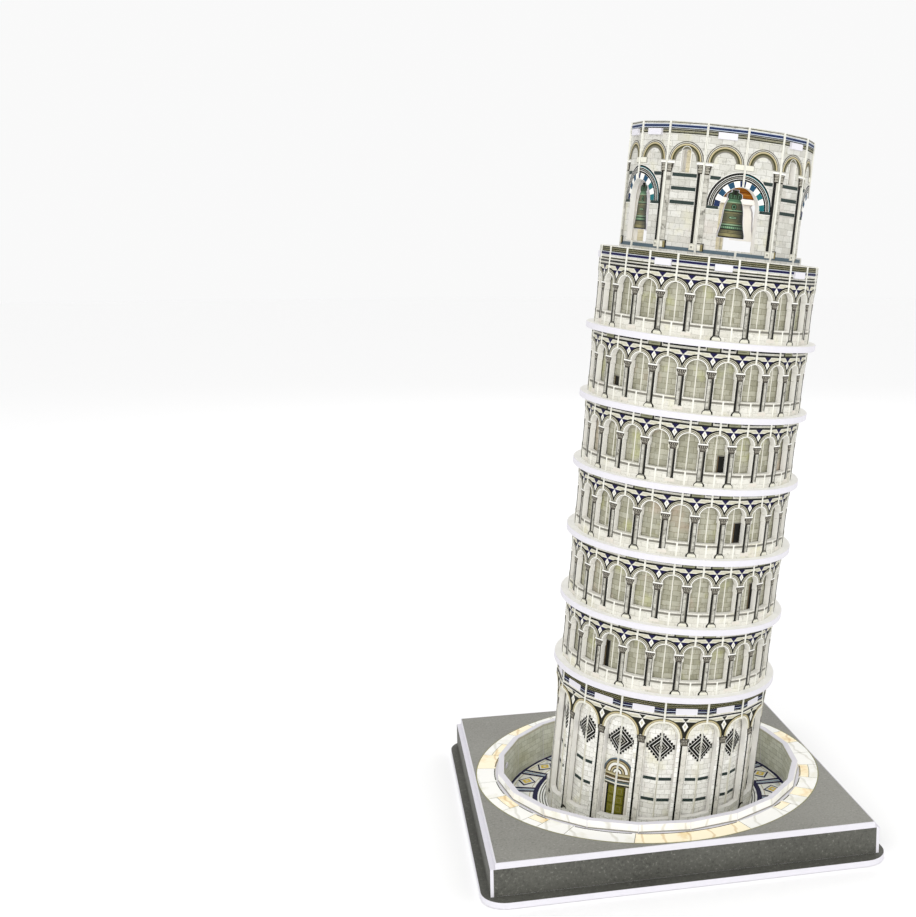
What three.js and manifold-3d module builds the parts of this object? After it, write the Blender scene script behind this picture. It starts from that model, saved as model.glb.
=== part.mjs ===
// Leaning bell tower, a slotted foam-board model on a square base. Millimetres, +Z up, origin at the
// centre of the underside of the bottom plate. Every piece is a flat or folded sheet about 2 mm thick.
import * as THREE from 'three';
import { mergeVertices } from 'three/addons/utils/BufferGeometryUtils.js';
import Module from 'manifold-3d';

const wasm = await Module();
wasm.setup();
const RAD = Math.PI / 180;

// Base
const PLATE = 143, PLATE_T = 2.1, PLATE_CORNER = 9;       // bottom plate
const SIDE_X = 68.5, END_Y = 66.6, BOARD = 2.0;           // outer faces of the upright panels
const BOX_TOP = 11.8, DECK_TOP = 13.97, DECK = 133.6;     // underside and top of the raised deck
const WELL_R = 58.4, WELL_T = 2.1, WELL_TOP = 17.0, WELL_N = 20, WELL_PHASE = -178.2;

// Tower axis: foot on the deck plane, tilted towards +X and a little towards -Y
const FOOT = new THREE.Vector3(1.91, -0.09, DECK_TOP);
const AXIS = new THREE.Vector3(0.1002, -0.0340, 0.9944).normalize();
const GAP = 0.12;                                         // paper-thin gap where two sheets meet

// Ground floor
const GF_N = 16, GF_PHASE = -102.3, GF_R = 40.4, GF_TOP = 41.7;
const GF_OPEN_W = 11.56, GF_CROWN = 33.6, GF_SILL_Z = 10.1;
const GF_WALL_R = 37.75, GF_WALL_T = 1.8, GF_CEIL = 36.8, GF_CEIL_T = 2.2, GF_TAB_W = 8.0;

// Galleries: six identical storeys of 24 folded bays between ring-shaped floors
const G_N = 24, G_PHASE = -90.8, G_R = 39.6, PITCH = 25.2, G_H = 23.0;
const RING_R = 42.25, RING_T = 2.2;
const OPEN_W = 7.5, OPEN_SILL = 5.05, OPEN_CROWN = 18.2;
const TAB_W = 5.0, TAB_DROP = 1.9;
const G6_TOP = 197.7, TUBE_R = 37.2;
const CAP_H = 193.2, CAP_T = 2.2, CAP_TAB_W = 6.0, TAB_OUT = 1.0;

// Belfry
const B_N = 15, B_PHASE = -90.7, B_R = 32.8, B_IN_R = 30.3, B_IN_T = 1.8, B_TOP = 241.2;
const ARCH_H = 214.5, ARCH_R = 7.0, ARCH_SILL = 200.3, B_CEIL = 236.5, B_CEIL_T = 2.1, B_TAB_W = 6.5;
const SLIT_W = 3.4, SLIT_LOW = 224.6, SLIT_TOP = 233.1;
const BELL_TURN = -2.6, BELL_FACE = 29.5, BELL_T = 1.6, BEAM_FACE = 26.4, BEAM_T = 1.5;

const WHITE = 0xece9e2, STONE = 0xd9d6c8, GREY = 0x6a6a64, DECK_GREY = 0x96958e;

// ---- helpers ------------------------------------------------------------------------------------
const apothem = (r, n) => r * Math.cos(Math.PI / n);
const circum = (a, n) => a / Math.cos(Math.PI / n);

function polygon(r, n, phase) {
  const points = [];
  for (let i = 0; i < n; i++) {
    const a = (phase + (360 / n) * i) * RAD;
    points.push(new THREE.Vector2(r * Math.cos(a), r * Math.sin(a)));
  }
  return points;
}

function prism(outline, low, high, holes = []) {
  const shape = outline instanceof THREE.Shape ? outline : new THREE.Shape(outline);
  for (const hole of holes) shape.holes.push(new THREE.Path([...hole].reverse()));
  const g = new THREE.ExtrudeGeometry(shape, { depth: high - low, bevelEnabled: false, curveSegments: 6 });
  return g.translate(0, 0, low);
}

function solid(geometry) {
  const g = geometry.clone();
  g.deleteAttribute('normal');
  g.deleteAttribute('uv');
  const m = mergeVertices(g, 1e-4);
  return new wasm.Manifold(new wasm.Mesh({
    numProp: 3,
    vertProperties: Float32Array.from(m.attributes.position.array),
    triVerts: Uint32Array.from(m.index.array),
  }));
}

function geometryOf(manifold) {
  const m = manifold.getMesh();
  const g = new THREE.BufferGeometry();
  const xyz = new Float32Array((m.vertProperties.length / m.numProp) * 3);
  for (let i = 0; i < xyz.length / 3; i++) {
    for (let k = 0; k < 3; k++) xyz[3 * i + k] = m.vertProperties[m.numProp * i + k];
  }
  g.setAttribute('position', new THREE.BufferAttribute(xyz, 3));
  g.setIndex(new THREE.BufferAttribute(Uint32Array.from(m.triVerts), 1));
  g.computeVertexNormals();
  return g;
}

// A shape drawn in a facet's own plane (x along the wall, y up), pushed out along the radius.
function radial(shape, angle, from, to) {
  const a = angle * RAD;
  const g = new THREE.ExtrudeGeometry(shape, { depth: to - from, bevelEnabled: false, curveSegments: 6 });
  g.translate(0, 0, from);
  return g.applyMatrix4(new THREE.Matrix4().makeBasis(
    new THREE.Vector3(-Math.sin(a), Math.cos(a), 0),
    new THREE.Vector3(0, 0, 1),
    new THREE.Vector3(Math.cos(a), Math.sin(a), 0),
  ));
}

function rectShape(width, low, high, centre = 0) {
  const w = width / 2;
  return new THREE.Shape([[-w, low], [w, low], [w, high], [-w, high]]
    .map(([x, y]) => new THREE.Vector2(centre + x, y)));
}

function archShape(width, low, crown, steps = 6) {
  const r = width / 2;
  const points = [new THREE.Vector2(-r, low), new THREE.Vector2(r, low)];
  for (let i = 0; i <= steps; i++) {
    const a = (Math.PI * i) / steps;
    points.push(new THREE.Vector2(r * Math.cos(a), crown - r + r * Math.sin(a)));
  }
  return new THREE.Shape(points);
}

const tabBox = (angle, width, low, high, from, to) => solid(radial(rectShape(width, low, high), angle, from, to));

function tube(r, thickness, n, phase, low, high) {
  const inner = circum(apothem(r, n) - thickness, n);
  return solid(prism(polygon(r, n, phase), low, high, [polygon(inner, n, phase)]));
}

function cutAll(body, cutters) {
  let result = body;
  for (const cutter of cutters) result = result.subtract(cutter);
  return result;
}

function joinAll(parts) {
  let result = parts[0];
  for (const part of parts.slice(1)) result = result.add(part);
  return result;
}

const facetAngles = (n, phase) => Array.from({ length: n }, (_, i) => phase + (360 / n) * (i + 0.5));
const foldAngles = (n, phase) => Array.from({ length: n }, (_, i) => phase + (360 / n) * i);

const group = new THREE.Group();
group.name = 'landmark_model';
const tower = new THREE.Group();
tower.name = 'tower';
const e1 = new THREE.Vector3(0, 1, 0).cross(AXIS).normalize();
const e2 = AXIS.clone().cross(e1);
const lean = new THREE.Matrix4().makeBasis(e1, e2, AXIS).setPosition(FOOT);
tower.applyMatrix4(lean);
group.add(tower);

function add(parent, name, body, colour, roughness = 0.75) {
  const geometry = body instanceof THREE.BufferGeometry ? body : geometryOf(body);
  const material = new THREE.MeshStandardMaterial({ color: colour, roughness, metalness: 0 });
  const mesh = new THREE.Mesh(geometry, material);
  mesh.name = name;
  parent.add(mesh);
}

// Everything between two level planes of the base, in the tower's own tilted coordinates.
function level(low, high) {
  const g = new THREE.BoxGeometry(240, 240, high - low).translate(0, 0, (low + high) / 2);
  return solid(g.applyMatrix4(lean.clone().invert()));
}

// ---- base ---------------------------------------------------------------------------------------
const FEET = [-34, 34], FOOT_W = 14, SLOT_PLAY = 0.1;
const half = PLATE / 2;
const plateShape = new THREE.Shape();
plateShape.moveTo(-half + PLATE_CORNER, -half);
for (const [cx, cy, start] of [[1, -1, -90], [1, 1, 0], [-1, 1, 90], [-1, -1, 180]]) {
  for (let i = 0; i <= 6; i++) {
    const a = (start + 15 * i) * RAD;
    plateShape.lineTo(cx * (half - PLATE_CORNER) + PLATE_CORNER * Math.cos(a),
      cy * (half - PLATE_CORNER) + PLATE_CORNER * Math.sin(a));
  }
}
plateShape.closePath();

function blockAt(x0, x1, y0, y1, z0, z1) {
  return solid(new THREE.BoxGeometry(x1 - x0, y1 - y0, z1 - z0)
    .translate((x0 + x1) / 2, (y0 + y1) / 2, (z0 + z1) / 2));
}

let bottom = solid(prism(plateShape, 0, PLATE_T));
const panels = {};
for (const side of [-1, 1]) {
  const xo = side * SIDE_X, xi = side * (SIDE_X - BOARD), x0 = Math.min(xo, xi), x1 = Math.max(xo, xi);
  const yo = side * END_Y, yi = side * (END_Y - BOARD), y0 = Math.min(yo, yi), y1 = Math.max(yo, yi);
  const flank = [blockAt(x0, x1, -END_Y, END_Y, PLATE_T, BOX_TOP)];
  const front = [blockAt(-SIDE_X + BOARD, SIDE_X - BOARD, y0, y1, PLATE_T, BOX_TOP)];
  for (const c of FEET) {
    flank.push(blockAt(x0, x1, c - FOOT_W / 2, c + FOOT_W / 2, 0, PLATE_T + 1));
    front.push(blockAt(c - FOOT_W / 2, c + FOOT_W / 2, y0, y1, 0, PLATE_T + 1));
    bottom = bottom
      .subtract(blockAt(x0 - SLOT_PLAY, x1 + SLOT_PLAY, c - FOOT_W / 2 - SLOT_PLAY, c + FOOT_W / 2 + SLOT_PLAY, -1, 4))
      .subtract(blockAt(c - FOOT_W / 2 - SLOT_PLAY, c + FOOT_W / 2 + SLOT_PLAY, y0 - SLOT_PLAY, y1 + SLOT_PLAY, -1, 4));
  }
  panels[side < 0 ? 'left' : 'right'] = joinAll(flank);
  panels[side < 0 ? 'front' : 'back'] = joinAll(front);
}
add(group, 'base_bottom_plate', bottom, GREY);
add(group, 'base_front_panel', panels.front, GREY);
add(group, 'base_back_panel', panels.back, GREY);
add(group, 'base_left_panel', panels.left, GREY);
add(group, 'base_right_panel', panels.right, GREY);
const d = DECK / 2;
const deckOutline = [[-d, -d], [d, -d], [d, d], [-d, d]].map(([x, y]) => new THREE.Vector2(x, y));
add(group, 'base_top_plate',
  prism(deckOutline, BOX_TOP, DECK_TOP, [polygon(WELL_R + GAP, WELL_N, WELL_PHASE)]), DECK_GREY);
add(group, 'well_wall', tube(WELL_R, WELL_T, WELL_N, WELL_PHASE, PLATE_T, WELL_TOP), STONE);

// ---- ground floor -------------------------------------------------------------------------------
const gfInner = apothem(GF_R, GF_N) - BOARD;
const tabAngles = [];                                     // where each gallery's feet pass its floor
for (let m = 0; m < 6; m++) tabAngles.push(-83.3 + 30 * m, -98.3 - 30 * m);
const notches = (top) => tabAngles.map((a) => tabBox(a, TAB_W + 2 * GAP, top - TAB_DROP - GAP, top + 5, 34, 44));

const underBase = level(-60, PLATE_T + 0.05);
const overSill = level(GF_SILL_Z, 120);
let arcade = tube(GF_R, BOARD, GF_N, GF_PHASE, -25, GF_TOP - GAP);
for (const a of foldAngles(GF_N, GF_PHASE)) {
  const bay = solid(radial(archShape(GF_OPEN_W, -20, GF_CROWN, 8), a, 34, 45)).intersect(overSill);
  arcade = arcade.subtract(bay);
}
for (const a of facetAngles(GF_N, GF_PHASE)) {
  arcade = arcade.subtract(tabBox(a, GF_TAB_W + 2 * GAP, GF_CEIL - GAP, GF_CEIL + GF_CEIL_T + GAP, 34, 45));
}
arcade = cutAll(arcade, notches(GF_TOP)).subtract(underBase);
add(tower, 'ground_arcade', arcade, WHITE);

const groundWall = tube(GF_WALL_R, GF_WALL_T, GF_N, GF_PHASE, -25, GF_CEIL - GAP).subtract(underBase);
add(tower, 'ground_wall', groundWall, STONE);

function tabbedDisc(apo, n, phase, low, thickness, tabs, width, reach) {
  const parts = [solid(prism(polygon(circum(apo, n), n, phase), low, low + thickness))];
  for (const a of tabs) parts.push(tabBox(a, width, low, low + thickness, apo - 8, reach));
  return joinAll(parts);
}
add(tower, 'ground_ceiling', tabbedDisc(gfInner - GAP, GF_N, GF_PHASE, GF_CEIL, GF_CEIL_T,
  facetAngles(GF_N, GF_PHASE), GF_TAB_W, apothem(GF_R, GF_N) + 0.1), WHITE);

// ---- gallery floors, arcades and the core tube ----------------------------------------------------
const gOuter = apothem(G_R, G_N), gInner = gOuter - BOARD;
const ringTop = (k) => GF_TOP + PITCH * (k - 1) + RING_T;
for (let k = 1; k <= 6; k++) {
  let ring = solid(prism(polygon(RING_R, 48, G_PHASE), ringTop(k) - RING_T, ringTop(k),
    [polygon(circum(gInner - 0.2, G_N), G_N, G_PHASE)]));
  ring = cutAll(ring, tabAngles.map((a) =>
    tabBox(a, TAB_W + 2 * GAP, ringTop(k) - 5, ringTop(k) + 5, 30, gOuter + GAP)));
  add(tower, `ring_${k}`, ring, WHITE);
}

const capTabs = [-188.3, -128.3, -98.3, -53.3, -8.3, 36.7, 81.7, 126.7];
for (let k = 1; k <= 6; k++) {
  const floor = ringTop(k), top = k < 6 ? floor + G_H - GAP : G6_TOP;
  const feetLow = floor - RING_T - TAB_DROP;
  let wall = tube(G_R, BOARD, G_N, G_PHASE, feetLow, top);
  // trim everything below the floor line except the feet
  let trim = tube(G_R + 3, BOARD + 6, G_N, G_PHASE, feetLow - 2, floor + GAP);
  trim = cutAll(trim, tabAngles.map((a) => tabBox(a, TAB_W, feetLow - 3, floor + 3, 30, 50)));
  wall = wall.subtract(trim);
  wall = cutAll(wall, foldAngles(G_N, G_PHASE).map((a) =>
    solid(radial(archShape(OPEN_W, floor + OPEN_SILL, floor + OPEN_CROWN), a, 34, 45))));
  if (k < 6) wall = cutAll(wall, notches(floor + G_H));
  else {
    wall = cutAll(wall, capTabs.map((a) =>
      tabBox(a, CAP_TAB_W + 2 * GAP, CAP_H - GAP, CAP_H + CAP_T + GAP, 34, 45)));
  }
  add(tower, `gallery_${k}`, wall, WHITE);
}
add(tower, 'inner_tube', tube(TUBE_R, BOARD, G_N, G_PHASE, GF_CEIL + GF_CEIL_T + GAP, CAP_H - GAP), STONE);
add(tower, 'belfry_floor',
  tabbedDisc(gInner - GAP, G_N, G_PHASE, CAP_H, CAP_T, capTabs, CAP_TAB_W, gOuter + TAB_OUT), WHITE);

// ---- belfry -------------------------------------------------------------------------------------
const bigArches = [0, 1, 2, 3, 4].map((i) => B_PHASE + 72 * i);
const slits = [0, 1, 2, 3, 4].map((i) => -126.7 + 72 * i);
const lidTabs = [...[0, 1, 2, 3, 4, 5, 6].map((i) => -150.7 + 48 * i), 185.3];

function belfryWall(r, thickness, high, extra) {
  let wall = tube(r, thickness, B_N, B_PHASE, CAP_H + CAP_T + GAP, high);
  const arch = archShape(2 * (ARCH_R + extra), ARCH_SILL, ARCH_H + ARCH_R + extra, 10);
  wall = cutAll(wall, bigArches.map((a) => solid(radial(arch, a, 20, 40))));
  return cutAll(wall, slits.map((a) => solid(radial(archShape(SLIT_W, SLIT_LOW, SLIT_TOP), a, 20, 40))));
}
const bOuter = apothem(B_R, B_N), bInner = bOuter - BOARD;
add(tower, 'belfry_inner_wall', belfryWall(B_IN_R, B_IN_T, B_CEIL - GAP, 0.5), STONE);
let shell = belfryWall(B_R, BOARD, B_TOP, 0);
shell = cutAll(shell, lidTabs.map((a) =>
  tabBox(a, B_TAB_W + 2 * GAP, B_CEIL - GAP, B_CEIL + B_CEIL_T + GAP, 26, 36)));
add(tower, 'belfry_outer_wall', shell, WHITE);
add(tower, 'belfry_ceiling',
  tabbedDisc(bInner - GAP, B_N, B_PHASE, B_CEIL, B_CEIL_T, lidTabs, B_TAB_W, bOuter + TAB_OUT), WHITE);

// Flat bells: half outline as [half width, height], with a square peg into the beam behind
const BELL = [[4.75, 204.4], [4.75, 205.6], [4.2, 207.6], [3.8, 210.0], [3.6, 213.0], [3.2, 215.4],
  [2.6, 216.8], [2.2, 217.3], [2.7, 218.0], [2.6, 219.2], [1.3, 219.9], [1.3, 220.7]];
const bellShape = new THREE.Shape([
  ...BELL.map(([w, h]) => new THREE.Vector2(w, h)),
  ...BELL.map(([w, h]) => new THREE.Vector2(-w, h)).reverse(),
]);
const PEG = 1.4, PEG_H = 219.5;
const spring = Math.acos((218.0 - ARCH_H) / 9.2);
const beamPoints = [];
for (let i = 0; i <= 8; i++) {
  const a = Math.PI / 2 - spring + (2 * spring * i) / 8;
  beamPoints.push(new THREE.Vector2(9.2 * Math.cos(a), ARCH_H + 9.2 * Math.sin(a)));
}
bigArches.forEach((a, i) => {
  const turned = a + BELL_TURN;
  const plate = solid(radial(bellShape, turned, BELL_FACE - BELL_T, BELL_FACE));
  const peg = tabBox(turned, PEG, PEG_H - PEG / 2, PEG_H + PEG / 2, BEAM_FACE - BEAM_T + 0.2, BELL_FACE - 0.4);
  add(tower, `bell_${i + 1}`, plate.add(peg), 0x5a6b46, 0.6);
  const beam = solid(radial(new THREE.Shape(beamPoints), a, BEAM_FACE - BEAM_T, BEAM_FACE));
  const hole = tabBox(turned, PEG + 0.3, PEG_H - PEG / 2 - 0.15, PEG_H + PEG / 2 + 0.15, 20, 30);
  add(tower, `bell_beam_${i + 1}`, beam.subtract(hole), 0xa0642c);
});

export default group;
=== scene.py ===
"""Leaning bell tower on a square base, slotted together from printed foam board. Blender 4.5."""
import math
import bpy
from mathutils import Matrix, Vector


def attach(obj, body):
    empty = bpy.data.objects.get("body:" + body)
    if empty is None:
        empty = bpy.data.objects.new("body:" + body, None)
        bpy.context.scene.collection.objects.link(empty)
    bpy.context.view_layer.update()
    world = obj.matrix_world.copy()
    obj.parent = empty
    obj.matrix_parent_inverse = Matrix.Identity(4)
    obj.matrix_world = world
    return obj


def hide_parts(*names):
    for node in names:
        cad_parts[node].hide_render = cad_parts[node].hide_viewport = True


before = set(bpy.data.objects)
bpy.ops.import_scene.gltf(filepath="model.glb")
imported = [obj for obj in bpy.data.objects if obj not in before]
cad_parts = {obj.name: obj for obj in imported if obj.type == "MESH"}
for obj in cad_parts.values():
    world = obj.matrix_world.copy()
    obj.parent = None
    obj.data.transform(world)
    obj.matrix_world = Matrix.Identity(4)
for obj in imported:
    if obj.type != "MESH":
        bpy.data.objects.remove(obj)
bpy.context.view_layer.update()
MM = 0.001

# ---- driving dimensions, millimetres -------------------------------------------------------------
FOOT = Vector((1.91, -0.09, 13.97))                     # where the tower axis meets the deck
AXIS = Vector((0.1002, -0.0340, 0.9944)).normalized()
E1 = Vector((0, 1, 0)).cross(AXIS).normalized()
E2 = AXIS.cross(E1)

PLATE, PLATE_T, PLATE_CORNER = 143.0, 2.1, 9.0
SIDE_X, END_Y, BOARD = 68.5, 66.6, 2.0
BOX_TOP, DECK_TOP, DECK = 11.8, 13.97, 133.6
WALL_FOOT = PLATE_T + 0.05                               # the walls stand on the bottom plate
WELL_R, WELL_T, WELL_TOP, WELL_N, WELL_PHASE = 58.4, 2.1, 17.0, 20, -178.2
WELL_STEP = 360 / WELL_N

GF_N, GF_PHASE, GF_R, GF_TOP, GF_SILL_Z = 16, -102.3, 40.4, 41.58, 10.1
GF_WALL_R, GF_WALL_T, GF_WALL_TOP = 37.75, 1.8, 36.68
GF_STEP = 360 / GF_N
G_N, G_PHASE, G_R, PITCH, RING_R, RING_T = 24, -90.8, 39.6, 25.2, 42.25, 2.2
LEVELS, FIRST_RING, G_STEP = 6, 41.7, 360 / G_N
TUBE_R, TUBE_LOW, TUBE_TOP = 37.2, 39.12, 193.0
B_N, B_PHASE, B_R, B_LOW, B_TOP = 15, -90.7, 32.8, 195.52, 241.2
B_IN_R, B_IN_T, B_IN_TOP = 30.3, 1.8, 236.38
B_STEP, BAYS = 360 / B_N, 5
ARCH_H, ARCH_R, ARCH_SILL = 214.5, 7.0, 200.3
SLIT_W, SLIT_LOW, SLIT_TOP = 3.4, 224.6, 233.1

FLOORS = [FIRST_RING + PITCH * k + RING_T for k in range(LEVELS)]   # top face of each ring
# length of print that each facet takes up on the unrolled sheets
G_SHEET, GF_SHEET, GF_WALL_SHEET, B_SHEET, B_IN_SHEET, WELL_SHEET = 10.34, 15.8, 15.0, 13.6, 12.6, 17


# ---- materials -----------------------------------------------------------------------------------
INK_GRAIN, INK_TOOTH, BUMP_DEPTH = 900.0, 2500.0, 0.00005


def linear(hexcode):
    channels = [int(hexcode[i:i + 2], 16) / 255 for i in (0, 2, 4)]
    return tuple(c / 12.92 if c < 0.04045 else ((c + 0.055) / 1.055) ** 2.4 for c in channels) + (1.0,)


def new_material(name, rough, specular=0.35):
    mat = bpy.data.materials.new(name)
    mat.use_nodes = True
    tree = mat.node_tree
    shader = tree.nodes["Principled BSDF"]
    shader.inputs["Roughness"].default_value = rough
    shader.inputs["Specular IOR Level"].default_value = specular
    return mat, tree, shader, tree.nodes.new("ShaderNodeTexCoord").outputs["Object"]


def node(tree, kind, vector=None, **inputs):
    n = tree.nodes.new(kind)
    for key, value in inputs.items():
        n.inputs[key.replace("_", " ")].default_value = value
    if vector is not None:
        tree.links.new(vector, n.inputs["Vector"])
    return n


def noise(tree, vector, scale, detail=3.0, rough=0.6):
    n = node(tree, "ShaderNodeTexNoise", vector, Scale=scale, Detail=detail, Roughness=rough)
    return n.outputs["Fac"]


def remap(tree, value, low, high, start, end):
    n = node(tree, "ShaderNodeMapRange", From_Min=low, From_Max=high, To_Min=start, To_Max=end)
    tree.links.new(value, n.inputs["Value"])
    return n.outputs["Result"]


def ramp(tree, fac, stops):
    n = tree.nodes.new("ShaderNodeValToRGB")
    elements = n.color_ramp.elements
    while len(elements) < len(stops):
        elements.new(0.5)
    for element, (position, colour) in zip(elements, stops):
        element.position = position
        element.color = linear(colour)
    tree.links.new(fac, n.inputs["Fac"])
    return n.outputs["Color"]


def mix(tree, a, b, fac):
    n = tree.nodes.new("ShaderNodeMix")
    n.data_type = "RGBA"
    for socket, value in ((n.inputs["Factor"], fac), (n.inputs["A"], a), (n.inputs["B"], b)):
        if isinstance(value, (float, int, tuple)):
            socket.default_value = value
        else:
            tree.links.new(value, socket)
    return n.outputs["Result"]


def finish(tree, shader, colour, height, strength):
    """Base colour and a faint relief."""
    tree.links.new(colour, shader.inputs["Base Color"])
    n = node(tree, "ShaderNodeBump", Strength=strength, Distance=BUMP_DEPTH)
    tree.links.new(height, n.inputs["Height"])
    tree.links.new(n.outputs["Normal"], shader.inputs["Normal"])


def sheet_space(tree):
    n = tree.nodes.new("ShaderNodeUVMap")
    n.uv_map = "sheet"
    return n.outputs["UV"]


def ink(name, colour, spread=0.10, rough=0.62):
    """A flat printed colour with the slight mottling and grain of ink on card."""
    mat, tree, shader, where = new_material(name, rough, 0.16)
    grain = noise(tree, where, INK_GRAIN)
    base = linear(colour)
    dark = tuple(c * (1 - spread) for c in base[:3]) + (1.0,)
    light = tuple(min(1.0, c * (1 + spread) + 0.002) for c in base[:3]) + (1.0,)
    finish(tree, shader, mix(tree, dark, light, grain), noise(tree, where, INK_TOOTH), 0.08)
    return mat


def shaded(name, colour, dark, half):
    """Printed colour that darkens towards both sides of a sheet of the given half width, as if rounded."""
    mat, tree, shader, where = new_material(name, 0.38)
    split = node(tree, "ShaderNodeSeparateXYZ", sheet_space(tree))
    distance = tree.nodes.new("ShaderNodeMath")
    distance.operation = "ADD"
    distance.inputs[1].default_value = half * 0.022
    tree.links.new(split.outputs["X"], distance.inputs[0])
    away = tree.nodes.new("ShaderNodeMath")
    away.operation = "ABSOLUTE"
    tree.links.new(distance.outputs[0], away.inputs[0])
    side = remap(tree, away.outputs[0], half * 0.02, half * 0.115, 0.0, 1.0)
    grain = noise(tree, where, 700.0, 4.0, 0.7)
    lit = mix(tree, linear(colour), linear(dark), side)
    blotch = remap(tree, grain, 0.5, 0.75, 0.0, 0.6)
    finish(tree, shader, mix(tree, lit, linear(dark), blotch), grain, 0.1)
    return mat


def masonry(name, pale, dark, joint, tints, block, joint_width, contrast):
    """Printed ashlar: courses of blocks in the sheet's own unrolled coordinates (1 unit is 10 mm)."""
    mat, tree, shader, where = new_material(name, 0.66, 0.22)
    # uneven hand-cut blocks: the sheet coordinates wander a little
    wander = node(tree, "ShaderNodeTexNoise", where, Scale=230.0, Detail=2.0)
    offset = tree.nodes.new("ShaderNodeVectorMath")
    offset.operation = "MULTIPLY_ADD"
    offset.inputs[1].default_value = (0.09, 0.09, 0.0)
    tree.links.new(wander.outputs["Color"], offset.inputs[0])
    tree.links.new(sheet_space(tree), offset.inputs[2])
    brick = node(tree, "ShaderNodeTexBrick", offset.outputs["Vector"], Scale=1.0, Bias=-0.2,
                 Mortar_Size=joint_width / 10, Mortar_Smooth=0.6, Brick_Width=block[0] / 10,
                 Row_Height=block[1] / 10, Color1=linear(pale), Color2=linear(dark), Mortar=linear(joint))
    colour = mix(tree, linear(pale), brick.outputs["Color"], contrast)
    for i, (tint, scale, low, high, amount) in enumerate(tints):
        patch = node(tree, "ShaderNodeTexNoise", where, Scale=scale, Detail=3.0, Roughness=0.6)
        patch.noise_dimensions = "4D"
        patch.inputs["W"].default_value = 3.7 * (i + 1)
        colour = mix(tree, colour, linear(tint), remap(tree, patch.outputs["Fac"], low, high, 0.0, amount))
    # chips and pits of the weathered stone, then pale scuffs
    for scale, low, high, amount, tint in ((1400.0, 0.56, 0.72, 0.55, joint), (520.0, 0.57, 0.70, 0.5, joint),
                                           (750.0, 0.60, 0.74, 0.7, pale)):
        speck = noise(tree, where, scale, 4.0, 0.7)
        colour = mix(tree, colour, linear(tint), remap(tree, speck, low, high, 0.0, amount))
    finish(tree, shader, colour, brick.outputs["Fac"], 0.10)
    return mat


def foam(name, colour):
    """Bare extruded foam edge: near white, with fine cells and faint mottling."""
    mat, tree, shader, where = new_material(name, 0.72, 0.25)
    cells = node(tree, "ShaderNodeTexVoronoi", where, Scale=2600.0)
    base = linear(colour)
    shade = tuple(c * 0.93 for c in base[:3]) + (1.0,)
    finish(tree, shader, mix(tree, shade, base, noise(tree, where, 500.0)), cells.outputs["Distance"], 0.12)
    return mat


def speckle(name, base, light, dark, scale):
    """Dark printed granite with salt-and-pepper grain."""
    mat, tree, shader, where = new_material(name, 0.6, 0.3)
    grain = noise(tree, where, scale, 4.0, 0.75)
    colour = ramp(tree, grain, [(0.28, dark), (0.47, base), (0.58, base), (0.74, light)])
    cloud = remap(tree, noise(tree, where, 22.0), 0.3, 0.7, 0.0, 0.25)
    finish(tree, shader, mix(tree, colour, linear(light), cloud), grain, 0.12)
    return mat


def marble(name, base, vein, warm):
    """A marble slab: warm clouding and thin wandering veins."""
    mat, tree, shader, where = new_material(name, 0.45, 0.4)
    cloud = noise(tree, where, 110.0, 4.0)
    colour = ramp(tree, cloud, [(0.35, base), (0.55, base), (0.72, warm)])
    wave = node(tree, "ShaderNodeTexWave", where, Scale=34.0, Distortion=7.0, Detail=4.0)
    line = remap(tree, wave.outputs["Fac"], 0.0, 0.05, 0.55, 0.0)
    finish(tree, shader, mix(tree, colour, linear(vein), line), cloud, 0.05)
    return mat


WARM_PATCHES = [("d7d2a6", 90.0, 0.56, 0.75, 0.55), ("cfc3bb", 70.0, 0.58, 0.75, 0.5),
                ("bdbcae", 160.0, 0.52, 0.75, 0.4)]
TUBE_PATCHES = [("b9bb7e", 80.0, 0.56, 0.72, 0.65), ("c4ab9a", 60.0, 0.60, 0.74, 0.6),
                ("a3a396", 150.0, 0.50, 0.72, 0.5)]
COURT_PATCHES = [("a9a678", 45.0, 0.55, 0.72, 0.5), ("ecece2", 60.0, 0.55, 0.75, 0.5)]
SHAFT_FLECKS = [("5f5d54", 520.0, 0.52, 0.64, 0.8)]
PILLAR_FLECKS = [("8d8a80", 620.0, 0.55, 0.66, 0.7)]

# printed stone: name, pale, dark and joint colours, patches, block size, joint width, contrast
STONES = {
    "wall": ("arcade_stone", "dddbd2", "c0bdb0", "8f8c7e", WARM_PATCHES, (4.6, 1.9), 0.07, 0.7),
    "tube": ("core_stone", "b0ae9d", "8b8974", "6a6752", TUBE_PATCHES, (3.4, 1.9), 0.09, 1.0),
    "floor_wall": ("ground_stone", "f6f5f0", "d8d6ce", "938f81", WARM_PATCHES, (3.6, 1.9), 0.08, 0.8),
    "belfry_wall": ("belfry_stone", "d3d2cb", "b2b0a6", "7d7a6e", WARM_PATCHES, (3.9, 2.1), 0.08, 0.8),
    "belfry_inside": ("belfry_inner_stone", "dfd9c2", "cbc4a8", "aea587", TUBE_PATCHES, (3.4, 2.0), 0.1, 0.8),
    "court_wall": ("court_stone", "dfe1d3", "c6c8b6", "999a86", COURT_PATCHES, (3.8, 2.1), 0.10, 0.9),
    "shaft": ("shaft_marble", "c4c2b8", "8f8d83", "7d7b71", SHAFT_FLECKS, (6.0, 1.5), 0.10, 0.6),
    "pillar": ("pillar_marble", "dddad1", "bab6aa", "96938a", PILLAR_FLECKS, (6.0, 3.0), 0.07, 0.5),
}
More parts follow.
